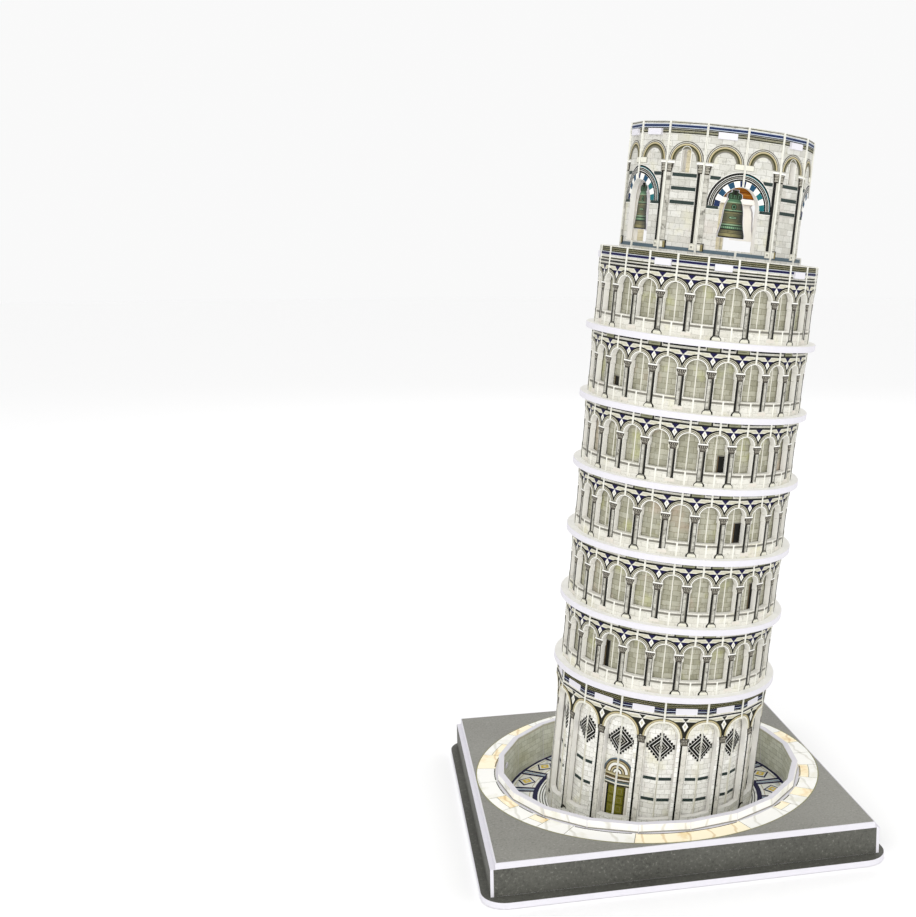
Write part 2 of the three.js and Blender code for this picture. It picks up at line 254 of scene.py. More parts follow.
# printed inks: colour, spread of the mottling, and roughness where it isn't the usual one
INKS = {
    "black": ("0f0f0b", 0.3, 0.42), "soft_black": ("23231c", 0.25), "navy": ("15123f", 0.2),
    "blue": ("1c4560", 0.2), "blue_dark": ("1a2a50", 0.2), "teal": ("1a666c", 0.2),
    "slate": ("2d3936", 0.15), "slate_blue": ("56666f", 0.15), "pale_blue": ("b9c3d3", 0.1),
    "light_blue": ("8fa6bb", 0.15), "white": ("ebeae4", 0.03), "cream": ("dddbcd", 0.05),
    "cream_dark": ("c3bfab", 0.08), "sill": ("77746b", 0.25), "grey": ("9a988e", 0.15),
    "capital": ("3a362e", 0.35), "capital_line": ("77726a", 0.2), "capital_light": ("b5b1a3", 0.2),
    "olive": ("33331f", 0.2), "olive_light": ("77734f", 0.15), "edge_olive": ("8b8a5e", 0.15),
    "tan": ("bfb491", 0.12), "tan_dark": ("877d56", 0.15), "arch_shadow": ("6a6750", 0.2),
    "corbel": ("8a8a70", 0.2), "pink_stone": ("dcd6cc", 0.06), "speckled_stone": ("c3c1b6", 0.25),
    "yellow": ("e2c75c", 0.15), "door": ("6d6a1f", 0.22, 0.4), "door_dark": ("3c390f", 0.2, 0.4),
    "brown": ("5c4a2c", 0.2), "timber": ("a5610f", 0.25, 0.4), "timber_light": ("c98a3a", 0.2, 0.4),
    "timber_dark": ("6a370a", 0.2, 0.4), "bell_dark": ("22301c", 0.3, 0.35), "joint": ("8f8c7c", 0.1),
}
# printed metal of the bells: colour, colour at the sides, half width
BELL_INKS = {
    "bell_body": ("5b5c3c", "12160a", 3.0),
    "bell_brown": ("585336", "141408", 3.6),
    "bell_green": ("476f4f", "0d1f13", 3.2),
    "bell_light": ("87a883", "1f3a25", 3.6),
    "bell_gold": ("8a8254", "1a1c0b", 4.2),
}
MATERIALS = {
    "foam": foam("foam_edge", "dfdde3"),
    "edge": foam("board_edge", "e7e5df"),
    "card_back": ink("card_back", "efeeea", 0.03, 0.7),
    "crease": ink("fold_crease", "eae9e0", 0.03, 0.7),
    "crease_soft": ink("fold_crease_soft", "dddbcf", 0.03, 0.7),
    "mosaic_pale": marble("mosaic_pale", "f1f1ec", "b5b9bc", "e6dfc2"),
    "slab_white": marble("marble_white", "f6f5f0", "c9c6b8", "e7e5d6"),
    "slab_cream": marble("marble_cream", "fff4d6", "d2ae6c", "ecd19a"),
    "base_side": speckle("base_side_print", "4b4b45", "85857c", "262622", 1100.0),
    "deck": speckle("deck_print", "83827b", "a9a8a1", "5f5e58", 1300.0),
}
MATERIALS.update({key: masonry(*values) for key, values in STONES.items()})
MATERIALS.update({key: ink(f"ink_{key}", *values) for key, values in INKS.items()})
MATERIALS.update({key: shaded(f"ink_{key}", *values) for key, values in BELL_INKS.items()})


# ---- sheet building ------------------------------------------------------------------------------
def wall_matrix(phi, distance):
    """x along the wall (right seen from outside), y up the tower axis, z outwards from the facet."""
    a = math.radians(phi)
    out = math.cos(a) * E1 + math.sin(a) * E2
    along = -math.sin(a) * E1 + math.cos(a) * E2
    m = Matrix((along, AXIS, out)).transposed().to_4x4()
    m.translation = FOOT + distance * out
    return m


def base_matrix(phi, distance, inward=False):
    """An upright facet of the base: x along it, y up, z out of it."""
    a = math.radians(phi)
    sign = -1 if inward else 1
    out = Vector((math.cos(a), math.sin(a), 0)) * sign
    along = Vector((-math.sin(a), math.cos(a), 0)) * sign
    m = Matrix((along, Vector((0, 0, 1)), out)).transposed().to_4x4()
    m.translation = out * sign * distance
    return m


def facet(radius, n):
    """Distance of a folded ring's facets from the axis, and half the width of one."""
    return radius * math.cos(math.pi / n), radius * math.sin(math.pi / n)


def level_y(matrix, x, z, offset=0.0):
    """Height up a leaning facet at which it meets the level plane z."""
    return (z - matrix[2][3] - matrix[2][0] * x - matrix[2][2] * offset) / matrix[2][1]


def rect(x0, x1, y0, y1):
    return [(x0, y0), (x1, y0), (x1, y1), (x0, y1)]


def arc(cx, cy, r, start, end, steps):
    return [(cx + r * math.cos(math.radians(start + (end - start) * i / steps)),
             cy + r * math.sin(math.radians(start + (end - start) * i / steps))) for i in range(steps + 1)]


def band(cx, cy, inner, outer, start, end, steps):
    return arc(cx, cy, outer, start, end, steps) + arc(cx, cy, inner, end, start, steps)


def mirror(outline):
    return [(-x, y) for x, y in reversed(outline)]


def symmetric(right):
    return right + mirror(right)


def diamond(half, low, middle, high):
    return [(0.0, low), (half, middle), (0.0, high), (-half, middle)]


def anticlockwise(outline):
    area = sum(x0 * y1 - x1 * y0 for (x0, y0), (x1, y1) in zip(outline, outline[1:] + outline[:1]))
    return list(outline) if area > 0 else list(reversed(outline))


class Piece:
    """Collects faces for one named object, with a material and unrolled coordinates on each face."""

    def __init__(self, name, weld=False):
        self.name, self.weld = name, weld
        self.verts, self.faces, self.inks, self.uvs = [], [], [], []
        self.used = []

    def face(self, points, key, uvs):
        if key not in self.used:
            self.used.append(key)
        start = len(self.verts)
        self.verts.extend(points)
        self.faces.append(tuple(range(start, start + len(points))))
        self.inks.append(self.used.index(key))
        self.uvs.append(uvs)

    def plate(self, matrix, outline, low, high, face, edge=None, back=None, inner=None, seams=(), shift=0.0,
              order=True):
        """A flat sheet between two offsets from the facet plane; edges that lie on a seam stay open."""
        edge, back = edge or face, back or edge or face
        if order:
            outline = anticlockwise(outline)
        inner = inner or outline
        top = [matrix @ Vector((x, y, high)) * MM for x, y in outline]
        bottom = [matrix @ Vector((x, y, low)) * MM for x, y in inner]
        uv = [((x + shift) / 10, y / 10) for x, y in outline]
        self.face(top, face, uv)
        self.face(bottom[::-1], back, uv[::-1])
        n = len(outline)
        for i in range(n):
            j = (i + 1) % n
            if any(abs(outline[i][0] - s) < 1e-4 and abs(outline[j][0] - s) < 1e-4 for s in seams):
                continue
            self.face([top[i], bottom[i], bottom[j], top[j]], edge, [uv[i], uv[i], uv[j], uv[j]])

    def build(self, body, slot, replaces=(), smooth=False):
        # one shared vertex per corner inside each sheet, so that the shells are closed
        mesh = bpy.data.meshes.new(self.name)
        keys, verts, faces = {}, [], []
        for group, face in enumerate(self.faces):
            ids = []
            for i in face:
                key = tuple(round(c * 1e7) for c in self.verts[i])
                key = key if self.weld else (self.groups[group],) + key
                if key not in keys:
                    keys[key] = len(verts)
                    verts.append(self.verts[i])
                ids.append(keys[key])
            faces.append(ids)
        mesh.from_pydata(verts, [], faces)
        layer = mesh.uv_layers.new(name="sheet")
        layer.data.foreach_set("uv", [c for uv in self.uvs for pair in uv for c in pair])
        mesh.polygons.foreach_set("material_index", self.inks)
        for key in self.used:
            mesh.materials.append(MATERIALS[key])
        mesh.update()
        if smooth:
            mesh.polygons.foreach_set("use_smooth", [True] * len(faces))
            mesh.set_sharp_from_angle(angle=math.radians(30))
        obj = bpy.data.objects.new(self.name, mesh)
        bpy.context.collection.objects.link(obj)
        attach(obj, body)
        if replaces:
            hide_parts(*replaces)


class Print(Piece):
    """Inked shapes: each one is its own thin closed sheet, lying a little above the card."""
    LAYER, SUNK = 0.06, 0.12

    def __init__(self, name):
        super().__init__(name)
        self.groups, self.current = [], 0

    def face(self, points, key, uvs):
        super().face(points, key, uvs)
        self.groups.append(self.current)

    def stamp(self, matrix, outline, key, layer=1, shift=0.0):
        self.current += 1
        self.plate(matrix, outline, -self.SUNK, layer * self.LAYER, key, shift=shift)

    def stamper(self, matrix, shift=0.0):
        """The stamp function of one facet."""
        return lambda outline, key, layer=1: self.stamp(matrix, outline, key, layer, shift)


def board_and_print(name):
    return Piece(f"{name}_board", weld=True), Print(f"{name}_print")


def build_pair(board, prints, slot, node_name, body="model"):
    board.build(body, slot, (node_name,))
    prints.build(body, slot)


def two_sided(stamp, outline, key, layer):
    stamp(outline, key, layer)
    stamp(mirror(outline), key, layer)


def stripes(stamp, x0, x1, rows, layer=1):
    """Level stripes across a facet, from rows of (foot, height, ink)."""
    for y, height, key in rows:
        stamp(rect(x0, x1, y, y + height), key, layer)


def blocks(stamp, origin, rows):
    """Rectangles with x measured from origin, from rows of (x0, x1, y0, y1, ink, layer)."""
    for x0, x1, y0, y1, key, layer in rows:
        stamp(rect(origin + x0, origin + x1, y0, y1), key, layer)


def between(limits, inks):
    """Neighbouring bands as (from, to, ink)."""
    return list(zip(limits, limits[1:], inks))


# ---- galleries -----------------------------------------------------------------------------------
CREASE = 0.27                                            # half width of a fold where the card cracks
MARGIN = 0.3                                             # level stripes stop this far from a fold
SILL, CAP_LOW, CAP_HIGH, SPRING, G_ARCH = 5.05, 12.2, 15.0, 14.45, 3.75
PIER, CAP_HALF, CAP_LIP, PANEL_TOP, RIM_TOP = 1.42, 1.78, 0.35, 22.88, 27.8
GALLERY_FRONT = G_PHASE + G_STEP / 2
RING_IN, RING_CHAMFER, RING_STEPS, RING_SHEET = 37.45, 0.12, 168, 0.07
# which side of a shaft has the printed shadow, left of where the strip is joined; right of it they swap
SHADOW_SIDE = {1: 1, 3: 1, 4: 1, 5: -1}

G_CAPITAL = symmetric([(1.05, 12.15), (1.2, 13.3), (1.62, 13.9), (1.66, 14.5)])
G_FOOT = symmetric([(1.95, 0.12), (1.85, 0.85), (1.25, 1.5), (1.1, 1.85)])
G_CUSHION = [(-1.72, 0.1), (1.32, 0.1), (1.3, 0.75), (0.95, 1.2), (-1.1, 1.2), (-1.6, 0.8)]
G_FOOT_SHADE = [(0.1, 2.02), (1.3, 2.02), (1.3, 2.25), (0.1, 2.35)]
G_MOULDINGS = between((3.77, 4.08, 4.26, 4.54, 4.80, 5.02, 5.58),
                      ("white", "soft_black", "cream_dark", "black", "cream_dark", "black"))
FIELD_R, FIELD_REACH = 5.4, 5.0                          # dark field between two arches
G_CORNICE = [(23.2, 0.5, "olive"), (24.55, 0.15, "pale_blue"), (25.45, 0.15, "pale_blue"),
             (25.72, 0.4, "olive"), (26.16, 0.18, "olive_light"), (26.38, 0.4, "olive"),
             (26.82, 0.18, "olive_light"), (27.04, 0.4, "olive")]


def arcade_outline(w):
    """One gallery facet: half an arch against each fold and a pier with a capital between them."""
    start = 180.0 - math.degrees(math.asin((CAP_HIGH - SPRING) / G_ARCH))
    right = [(w, 0.0), (w, SILL), (PIER, SILL), (PIER, CAP_LOW), (CAP_HALF, CAP_LOW + CAP_LIP),
             (CAP_HALF, CAP_HIGH)]
    return right + arc(w, SPRING, G_ARCH, start, 90.0, 14)


def arch_rings(stamp, w, spring, rings, low):
    """Half-rings of an arch centred on both folds of a facet, kept off the creases and off x = 0."""
    for inner, outer, key in rings:
        def first(r):
            a = math.degrees(math.asin(min(1.0, max(0.0, (low - spring) / r))))
            return max(a, math.degrees(math.acos(min(1.0, w / r))))
        last_in, last_out = (math.degrees(math.acos(CREASE / r)) for r in (inner, outer))
        line_out = arc(w, spring, outer, 180 - first(outer), 180 - last_out, 12)
        line_in = arc(w, spring, inner, 180 - last_in, 180 - first(inner), 12)
        two_sided(stamp, line_out + line_in, key, 4)


def capital_carving(stamp, x0, x1, lines, height, line_ink, leaves, leaf, rows, layer):
    """Level lines across a capital, then rows of upright leaves."""
    stripes(stamp, x0, x1, [(y, height, line_ink) for y in lines], layer)
    for x in leaves:
        for low, high in rows:
            stamp(rect(x, x + leaf, low, high), "capital_light", layer)


def gallery_column(stamp, side, footed):
    """Shaft, shadow, capital and foot; side is the shadowed one."""
    foot_top = 1.75 if footed else 2.2
    stamp(rect(-1.02, 1.02, foot_top, CAP_LOW), "shaft", 1)
    for near, far, low, key in ((0.40, 1.12, foot_top - 0.1, "black"), (-1.12, -0.92, foot_top, "soft_black"),
                                (0.12, 0.40, foot_top, "sill")):
        stamp(rect(*sorted((side * near, side * far)), low, CAP_LOW), key, 2)
    stamp(G_CAPITAL, "capital", 3)
    for y, half in ((12.6, 0.85), (13.45, 1.0), (14.2, 1.4)):
        stamp(rect(-half, half, y, y + 0.16), "capital_line", 4)
    for x in (-0.7, -0.25, 0.2, 0.65):
        low, high = x * 1.35, x * 1.7
        stamp([(x, 12.85), (x + 0.16, 12.85), (low + 0.2, 13.35), (low, 13.35)], "capital_light", 4)
        stamp([(low, 13.7), (low + 0.2, 13.7), (high + 0.22, 14.1), (high, 14.1)], "capital_light", 4)
    stamp(rect(-1.75, 1.75, 14.55, 15.02), "white", 5)
    stamp(rect(-1.2, 1.2, 15.02, 15.22), "soft_black", 4)
    if footed:
        stamp(G_FOOT, "soft_black", 2)
        stamp(G_CUSHION if side > 0 else mirror(G_CUSHION), "cream", 3)
        stamp(rect(-0.9, 0.9, 1.35, 1.55), "grey", 3)
    else:
        stamp(G_FOOT_SHADE if side > 0 else mirror(G_FOOT_SHADE), "soft_black", 3)
        stamp(rect(-1.7, 1.7, 0.7, 1.7), "pink_stone", 1)


def gallery_spandrel(stamp, w):
    """Mouldings, dark field, diamond, trapezoids and the small triangle over each column."""
    edge = w - MARGIN
    arch_rings(stamp, w, SPRING, G_MOULDINGS, 15.1)
    start, reach = math.degrees(math.acos(w / FIELD_R)), math.degrees(math.asin(FIELD_REACH / FIELD_R))
    stamp(symmetric(arc(w, SPRING, FIELD_R, 180 - start, 180 - reach, 8)), "navy", 1)
    two_sided(stamp, [(0.25, 19.52), (1.5, 20.82), (w - 0.4, 20.82), (w - 0.4, 20.05), (w - 1.4, 19.85),
                      (3.2, 19.52)], "cream", 2)
    two_sided(stamp, [(0.95, 19.78), (1.65, 20.52), (w - 0.85, 20.52), (3.9, 19.85)], "cream_dark", 3)
    stamp([(-1.35, 20.95), (0.0, 19.55), (1.35, 20.95)], "navy", 3)
    stamp(diamond(0.88, 16.55, 18.1, 19.5), "white", 3)
    stamp(diamond(0.36, 17.5, 18.12, 18.75), "cream_dark", 4)
    stamp(rect(-edge, edge, 20.95, 21.5), "black", 4)


def gallery_bay(stamp, w, side, footed, top, rim):
    """The print on one facet: a column in the middle and half an arch on each side."""
    edge = w - MARGIN
    two_sided(stamp, rect(w - CREASE, w, 0.05, SILL - 0.05), "crease", 2)
    two_sided(stamp, rect(w - CREASE, w, SPRING + G_ARCH + 0.05, top - 0.05), "crease", 7)
    two_sided(stamp, rect(1.15, edge, 3.95, 4.55), "sill", 1)
    two_sided(stamp, rect(1.15, edge, 3.75, 3.95), "grey", 1)
    gallery_column(stamp, side, footed)
    gallery_spandrel(stamp, w)
    if rim:
        stripes(stamp, -edge, edge, [(22.15, 0.6, "black"), (24.7, 0.75, "navy")], 4)
        stripes(stamp, -edge, edge, G_CORNICE)
    elif footed:
        # the foot of the next level's column shows in front of the upper stripe
        two_sided(stamp, rect(2.95, edge, 22.25, 22.85), "black", 4)
        stamp(rect(-2.55, 2.55, 21.45, 22.86), "soft_black", 2)
        stamp(rect(*((-2.3, 1.95) if side > 0 else (-1.95, 2.3)), 21.5, 22.86), "corbel", 3)
        stamp(rect(-1.6, 1.3, 22.1, 22.25), "olive", 4)
    else:
        stamp(rect(-edge, edge, 22.25, 22.85), "black", 4)


def build_gallery(level):
    name, rim = f"gallery_{level + 1}", level == LEVELS - 1
    top = RIM_TOP if rim else PANEL_TOP
    outer, w = facet(G_R, G_N)
    outline = symmetric(arcade_outline(w) + [(w, top)])
    inner = [(x * (outer - BOARD) / outer, y) for x, y in outline]
    board, prints = board_and_print(name)
    for i in range(-G_N // 2, G_N // 2):
        m = wall_matrix(GALLERY_FRONT + G_STEP * i, outer)
        m.translation += AXIS * FLOORS[level]
        board.plate(m, outline, -BOARD, 0, "wall", "edge", "card_back", inner, (-w, w), shift=G_SHEET * i)
        side = SHADOW_SIDE.get(level)
        side = -1 if side is None else (side if i < 0 else -side)
        footed = i % 2 == (0 if i >= 0 else 1)
        gallery_bay(prints.stamper(m, G_SHEET * i), w, side, footed, top, rim)
    build_pair(board, prints, "arcade_print", name)


def build_ring(level):
    """A foam ring turned about the tower axis, with printed card on its two level faces."""
    low, high, rim = FLOORS[level] - RING_T, FLOORS[level], RING_R - RING_CHAMFER
    profile = [(RING_IN, low), (rim, low), (RING_R, low + RING_CHAMFER), (RING_R, high - RING_CHAMFER),
               (rim, high), (RING_IN, high)]
    level_faces = (0, 4)
    ring = Piece(f"ring_{level + 1}_board", weld=True)
    points = []
    for i in range(RING_STEPS):
        a = 2 * math.pi * i / RING_STEPS
        out = math.cos(a) * E1 + math.sin(a) * E2
        points.append([(FOOT + AXIS * h + out * r) * MM for r, h in profile])
    for i, here in enumerate(points):
        after = points[(i + 1) % RING_STEPS]
        s = i * 360 / RING_STEPS * RING_SHEET
        for j, (_, height) in enumerate(profile):
            k = (j + 1) % len(profile)
            ring.face([here[j], after[j], after[k], here[k]], "card_back" if j in level_faces else "foam",
                      [(s, height / 10)] * 2 + [(s, profile[k][1] / 10)] * 2)
    ring.build("model", "white_foam", (f"ring_{level + 1}",), smooth=True)


for level in range(LEVELS):
    build_gallery(level)
    build_ring(level)


# ---- core tube -----------------------------------------------------------------------------------
# small printed windows: angle, low, high, width; the last three are on the side away from the front
WINDOWS = [(-151.0, 148.6, 152.9, 2.2), (-86.8, 124.4, 130.2, 2.9), (-73.5, 99.6, 106.4, 2.8),
           (-56.4, 73.8, 83.4, 1.6), (-139.5, 47.2, 58.4, 1.7),
           (93.0, 124.4, 130.2, 2.9), (123.6, 73.8, 83.4, 1.6), (29.0, 148.6, 152.9, 2.2)]


def core_tube():
    outer, w = facet(TUBE_R, G_N)
    w_inner = w * (outer - BOARD) / outer
    board, prints = board_and_print("inner_tube")
    for i in range(G_N):
        m = wall_matrix(G_PHASE + G_STEP * (i + 0.5), outer)
        board.plate(m, rect(-w, w, TUBE_LOW, TUBE_TOP), -BOARD, 0, "tube", "foam", "card_back",
                    rect(-w_inner, w_inner, TUBE_LOW, TUBE_TOP), (-w, w), shift=2 * w * i)
        two_sided(prints.stamper(m), rect(w - 0.2, w, TUBE_LOW + 0.1, TUBE_TOP - 0.1), "crease_soft", 1)
    for phi, low, high, width in WINDOWS:
        centre = G_PHASE + G_STEP * (math.floor((phi - G_PHASE) / G_STEP) + 0.5)
        half = width / 2
        limit = w - half - 0.7
        x = max(-limit, min(limit, outer * math.tan(math.radians(phi - centre))))
        stamp = prints.stamper(wall_matrix(centre, outer))
        blocks(stamp, x, [(-half - 0.35, half + 0.35, low - 0.35, high + 0.35, "sill", 1),
                          (-half + 0.15, half, low, high, "black", 2),
                          (-half - 0.05, -half + 0.2, low, high, "brown", 3)])
    build_pair(board, prints, "stone_print", "inner_tube")


core_tube()


# ---- ground floor --------------------------------------------------------------------------------
GF_SPRING, GF_ARCH, GF_PIER, GF_SHAFT_TOP = 27.6, 5.78, 2.1, 25.2
GF_CAPITAL = [(-0.95, 24.95), (1.75, 24.95), (1.7, 26.0), (2.0, 26.7), (2.0, 27.6), (-1.3, 27.6),
              (-1.3, 26.7), (-1.0, 26.0)]
# the foot of a shaft, with heights measured from the sill
GF_FOOT = [(-1.2, -3.9), (-0.3, -3.9), (0.2, -3.1), (1.9, -2.6), (2.1, -3.1), (2.1, -2.4), (0.4, -2.0),
           (-0.85, -2.6)]
GF_MOULDINGS = between((5.82, 6.55, 6.70, 7.05, 7.32, 7.55), ("cream", "brown", "tan", "tan_dark", "black"))
GF_FIELD_R, GF_FIELD_REACH = 7.5, 6.35
GF_CORNICE = [(36.3, 0.2, "cream_dark"), (36.85, 0.25, "soft_black"), (37.2, 0.3, "black"),
              (37.5, 0.3, "navy"), (37.8, 0.2, "pale_blue"), (38.0, 0.35, "black"), (38.35, 0.35, "navy"),
              (38.75, 0.2, "soft_black"), (39.0, 0.4, "olive"), (39.44, 0.18, "olive_light"),
              (39.66, 0.4, "olive"),
              (40.1, 0.18, "olive_light"), (40.32, 0.4, "olive"), (40.76, 0.18, "olive_light"),
              (40.98, 0.4, "olive")]
DOOR_TOP, LUNETTE_Y, COURSE, BLOCK_TOP = 5.7, 10.65, 1.15, 17.2
LINTEL = [(5.8, 0.5, "soft_black"), (6.4, 0.45, "cream"), (6.95, 0.5, "slate_blue"), (7.6, 0.3, "black"),
          (8.0, 0.45, "pink_stone"), (8.6, 0.5, "brown"), (9.2, 0.25, "black"), (9.55, 0.6, "tan"),
          (10.25, 0.4, "tan_dark")]
LUNETTE = between((5.75, 5.2, 4.7, 4.35, 3.95, 3.0, 2.5, 2.0, 1.55, 0.8, 0.05),
                  ("slate_blue", "brown", "tan", "tan_dark", "white", "brown", "tan", "soft_black", "white",
                   "brown"))
LOZENGE_Y, TEETH, TEETH_REACH, TOOTH = 23.3, 6, 5.3, 0.42
LOZENGE = [(4.95, "black"), (4.6, "white"), (4.32, "black"), (3.05, "white"), (2.75, "black"), (1.9, "grey"),
           (1.45, "black"), (0.7, "speckled_stone")]


def ground_column(stamp, sill):
    """Column on the pier: margin, shadow line, speckled shaft, capital and foot."""
    stamp(rect(-0.18, 1.9, sill - 2.2, GF_SHAFT_TOP), "pillar", 1)
    stamp(rect(-0.85, -0.15, sill - 3.4, GF_SHAFT_TOP), "black", 2)
    stamp(rect(1.72, 1.86, sill - 2.2, GF_SHAFT_TOP), "grey", 2)
    stamp(GF_CAPITAL, "capital", 3)
    capital_carving(stamp, -0.8, 1.5, (25.35, 26.35, 27.1), 0.2, "capital_line",
                    (-0.65, -0.1, 0.45, 1.0), 0.22, ((25.65, 26.2), (26.62, 27.0)), 4)
    stamp([(x, sill + y) for x, y in GF_FOOT], "soft_black", 3)


def ground_spandrel(stamp, w):
    edge = w - 0.32
    arch_rings(stamp, w, GF_SPRING, GF_MOULDINGS, GF_SPRING + 0.1)
    reach = math.degrees(math.asin(GF_FIELD_REACH / GF_FIELD_R))
    stamp(symmetric(arc(w, GF_SPRING, GF_FIELD_R, 178, 180 - reach, 8)), "soft_black", 1)
    two_sided(stamp, [(0.3, 34.05), (1.35, 35.25), (w - 0.45, 35.25), (w - 1.2, 34.95), (4.4, 34.05)],
              "cream", 2)
    two_sided(stamp, [(1.0, 34.3), (1.6, 34.95), (5.2, 34.95), (4.2, 34.3)], "cream_dark", 3)
    stamp([(-1.15, 35.35), (0.0, 34.05), (1.15, 35.35)], "soft_black", 3)
    stamp(diamond(1.1, 30.3, 32.3, 34.0), "white", 3)
    stamp(diamond(0.5, 31.4, 32.3, 33.1), "cream_dark", 4)
    stamp(rect(-edge, edge, 35.4, 35.6), "white", 4)
    stamp(rect(-edge, edge, 35.6, 36.05), "black", 5)
    stripes(stamp, -edge, edge, GF_CORNICE)


def ground_arcade():
    outer, w = facet(GF_R, GF_N)
    ratio = (outer - BOARD) / outer
    board, prints = board_and_print("ground_arcade")
    for i in range(GF_N):
        m = wall_matrix(GF_PHASE + GF_STEP * (i + 0.5), outer)

        def outline(k, offset):
            def cut(x, z):
                return (x * k, level_y(m, x * k, z, offset))
            curve = [(x * k, y) for x, y in arc(w, GF_SPRING, GF_ARCH, 180, 90, 18)]
            foot = [cut(-w, WALL_FOOT), cut(w, WALL_FOOT)]
            right, left = ([cut(s * x, GF_SILL_Z) for x in (w, GF_PIER)] for s in (1, -1))
            return foot + right + curve + [(w * k, GF_TOP), (-w * k, GF_TOP)] + mirror(curve) + left[::-1]
        board.plate(m, outline(1.0, 0.0), -BOARD, 0, "floor_wall", "edge", "card_back",
                    outline(ratio, -BOARD), (-w, w), shift=GF_SHEET * i, order=False)
        stamp = prints.stamper(m, GF_SHEET * i)
        ground_column(stamp, level_y(m, 0, GF_SILL_Z))
        ground_spandrel(stamp, w)
        two_sided(stamp, rect(w - CREASE, w, GF_SPRING + GF_ARCH + 0.05, GF_TOP - 0.05), "crease", 6)
        plinth = min(level_y(m, x, GF_SILL_Z - 0.1) for x in (-w, w)) - 0.1
        two_sided(stamp, rect(w - CREASE / 2, w, level_y(m, 0, PLATE_T + 0.4), plinth), "cream_dark", 1)
    build_pair(board, prints, "arcade_print", "ground_arcade")


def lozenge(stamp, w):
    """Half an inlaid lozenge against each fold: toothed border, then nested black and white squares."""
    for quarter in (-1, 1):
        for t in range(TEETH):
            f = (t + 0.5) / TEETH
            cx, cy = w - TEETH_REACH * f, LOZENGE_Y + quarter * TEETH_REACH * (1 - f)
            two_sided(stamp, rect(cx - TOOTH, cx + TOOTH, cy - TOOTH, cy + TOOTH), "black", 1)
    for layer, (half, key) in enumerate(LOZENGE, 2):
        two_sided(stamp, [(w - half, LOZENGE_Y), (w, LOZENGE_Y - half), (w, LOZENGE_Y + half)], key, layer)


def doorway(stamp, w, right):
    """One leaf of the double door and half of its lunette, against a fold; right is the leaf's side."""
    def put(outline, key, layer):
        stamp(outline if not right else mirror(outline), key, layer)
    blocks(put, w, [(-5.1, -3.75, -8.0, 5.6, "pink_stone", 1), (-4.6, -4.35, -8.0, 5.6, "speckled_stone", 2),
                    (-3.75, 0.0, -8.0, DOOR_TOP, "door_dark", 1)])
    if not right:
        put(rect(w - 3.75, w - 3.05, -8.0, DOOR_TOP), "black", 2)
    for y in (-7.9, -4.5, -1.1, 2.3):
        blocks(put, w, [(-3.0, -0.3, y, y + 3.1, "door", 2), (-2.4, -0.9, y + 0.6, y + 2.5, "tan_dark", 3),
                        (-2.25, -1.05, y + 0.75, y + 2.35, "door", 4)])
    put(rect(w - 5.0, w, DOOR_TOP, 10.7), "tan_dark", 1)
    stripes(put, w - 4.8, w, LINTEL, 2)
    for outer, inner, key in LUNETTE:
        put(arc(w, LUNETTE_Y, outer, 180, 90, 12) + arc(w, LUNETTE_Y, inner, 90, 180, 12), key, 3)


def ground_wall():
    outer, w = facet(GF_WALL_R, GF_N)
    ratio = (outer - GF_WALL_T) / outer
    board, prints = board_and_print("ground_wall")
    for i in range(GF_N):
        m = wall_matrix(GF_PHASE + GF_STEP * (i + 0.5), outer)

        def outline(half, offset):
            foot = [(x, level_y(m, x, WALL_FOOT, offset)) for x in (-half, half)]
            return foot + [(half, GF_WALL_TOP), (-half, GF_WALL_TOP)]
        board.plate(m, outline(w, 0.0), -GF_WALL_T, 0, "floor_wall", "edge", "card_back",
                    outline(w * ratio, -GF_WALL_T), (-w, w), shift=GF_WALL_SHEET * i, order=False)
        stamp = prints.stamper(m, GF_WALL_SHEET * i)
        lozenge(stamp, w)
        two_sided(stamp, rect(w - 0.2, w, BLOCK_TOP, 33.6), "crease", 9)
        for side in (-1, 1):
            def put(outline, key, layer):
                stamp(outline if side > 0 else mirror(outline), key, layer)
            # the door's two leaves share the last fold but one
            at_door = (i, side) in ((GF_N - 2, 1), (GF_N - 1, -1))
            if at_door:
                doorway(stamp, w, side < 0)
            else:
                stripes(put, w - 5.2, w - 0.5, [(y, COURSE, "slate") for y in (2.5, 10.5)])
            crack, key = (CREASE, "crease") if at_door else (CREASE * 0.6, "cream")
            put(rect(w - crack, w, level_y(m, side * w, PLATE_T + 1), BLOCK_TOP), key, 7)
        # painted shadow: a thin darker arc on the inner wall, where the arcade's arch in front casts its
        # shade
        two_sided(stamp, arc(w, 27.2, 5.1, 180, 96, 10) + arc(w, 27.2, 4.95, 96, 180, 10), "cream_dark", 1)
    build_pair(board, prints, "stone_print", "ground_wall")


ground_arcade()
ground_wall()


# ---- belfry --------------------------------------------------------------------------------------
B_OUT, B_W = facet(B_R, B_N)
# facet kinds, in order from the front fold: arch at its left, slit, arch at its right
ARCH_LEFT, SLIT, ARCH_RIGHT = 0, 1, 2
B_CORNICE = [(237.25, 0.45, "olive"), (237.8, 0.25, "olive_light"), (238.15, 0.45, "olive"),
             (238.75, 0.28, "soft_black"), (239.1, 0.2, "pale_blue"), (239.3, 0.75, "blue_dark"),
             (240.05, 0.18, "pale_blue"), (240.65, 0.22, "olive")]
BASE_LOW, SHAFT_LOW, SHAFT_TOP = 199.0, 201.3, 224.6
